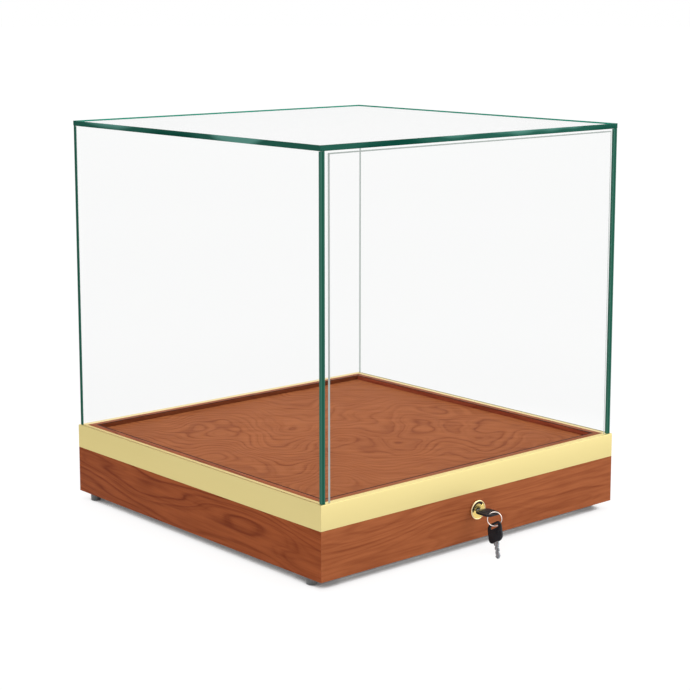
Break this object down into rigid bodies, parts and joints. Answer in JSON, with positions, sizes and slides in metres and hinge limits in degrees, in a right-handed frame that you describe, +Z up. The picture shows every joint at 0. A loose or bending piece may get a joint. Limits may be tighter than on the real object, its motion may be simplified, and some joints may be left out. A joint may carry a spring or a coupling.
{
  "type": "countertop display case",
  "caption": "Glass cube display case on a cherry plinth with a gold rail; its deck and front pane pull out on slides behind a keyed cam lock.",
  "frame": {"origin": "middle of the whole plan with the keys, on the counter under the feet; the plinth centre is 24 mm behind it", "axes": "+Z up; -Y out of the locking front; +X to the right as seen from the front"},
  "size_m": [0.457, 0.5047, 0.4635],
  "materials": {
    "cherry_laminate": "satin cherry wood-grain laminate on board",
    "plain_board": "bare fibreboard, sanded",
    "gold_rail": "pale gold anodised, fine satin brushing",
    "clear_glass": "clear float glass with polished green edges",
    "clear_tape": "clear acrylic bonding tape",
    "foot_rubber": "moulded dark grey rubber",
    "zinc_steel": "zinc plated pressed steel",
    "screw_steel": "zinc plated screws",
    "lock_brass": "polished brass",
    "lock_zinc": "plated die casting",
    "bow_plastic": "moulded black plastic with a fine grain",
    "key_steel": "nickel plated key steel",
    "ring_steel": "bright plated spring wire"
  },
  "bodies": {
    "case": {"left_wall": "cherry_laminate", "right_wall": "cherry_laminate", "back_wall": "cherry_laminate", "bottom_panel": "plain_board", "rear_corner_blocks": "plain_board", "left_rail": "gold_rail", "right_rail": "gold_rail", "back_rail": "gold_rail", "glass_left": "clear_glass", "glass_right": "clear_glass", "glass_back": "clear_glass", "glass_top": "clear_glass", "hood_bond_strips": "clear_tape", "front_left_foot": "foot_rubber", "front_right_foot": "foot_rubber", "rear_left_foot": "foot_rubber", "rear_right_foot": "foot_rubber", "left_slide_outer": "zinc_steel", "right_slide_outer": "zinc_steel", "lock_strike": "zinc_steel", "foot_screws": "screw_steel", "outer_slide_screws": "screw_steel", "block_screws": "screw_steel", "strike_screws": "screw_steel"},
    "slide_middle": {"left_slide_middle": "zinc_steel", "right_slide_middle": "zinc_steel"},
    "pull_out": {"front_wall": "cherry_laminate", "front_rail": "gold_rail", "glass_front": "clear_glass", "front_bond_strip": "clear_tape", "deck_panel": "cherry_laminate", "left_deck_runner": "plain_board", "right_deck_runner": "plain_board", "rear_deck_rail": "plain_board", "deck_screws": "screw_steel", "left_slide_inner": "zinc_steel", "right_slide_inner": "zinc_steel", "inner_slide_screws": "screw_steel", "left_front_bracket": "zinc_steel", "right_front_bracket": "zinc_steel", "bracket_screws": "screw_steel", "lock_body": "lock_brass", "lock_nut": "lock_zinc"},
    "lock_plug": {"lock_plug": "lock_brass", "lock_cam": "lock_zinc", "cam_screw": "screw_steel"},
    "key": {"key_bow": "bow_plastic", "key_blade": "key_steel"},
    "ring": {"key_ring": "ring_steel"},
    "spare_key": {"spare_key_bow": "bow_plastic", "spare_key_blade": "key_steel"}
  },
  "joints": [
    {"name": "deck_slide", "type": "slide", "parent": "case", "child": "pull_out", "axis": [0, -1, 0], "range_m": [0, 0.35]},
    {"name": "slide_middle_travel", "type": "slide", "parent": "case", "child": "slide_middle", "axis": [0, -1, 0], "range_m": [0, 0.175]},
    {"name": "lock_turn", "type": "hinge", "parent": "pull_out", "child": "lock_plug", "pos_m": [0, -0.2046, 0.044], "axis": [0, 1, 0], "range_deg": [0, 90]},
    {"name": "key_withdraw", "type": "slide", "parent": "lock_plug", "child": "key", "axis": [0, -1, 0], "range_m": [0, 0.028]},
    {"name": "ring_swing", "type": "hinge", "parent": "key", "child": "ring", "pos_m": [0.0005, -0.2313, 0.03898], "axis": [-0.5736, -0.8192, 0], "range_deg": [0, 40]},
    {"name": "spare_key_swing", "type": "hinge", "parent": "ring", "child": "spare_key", "pos_m": [0.0005, -0.2313, 0.03098], "axis": [-0.8192, 0.5736, 0], "range_deg": [0, 35]}
  ],
  "couplings": [
    {"joint": "slide_middle_travel", "follows": "deck_slide", "ratio": 0.5}
  ]
}
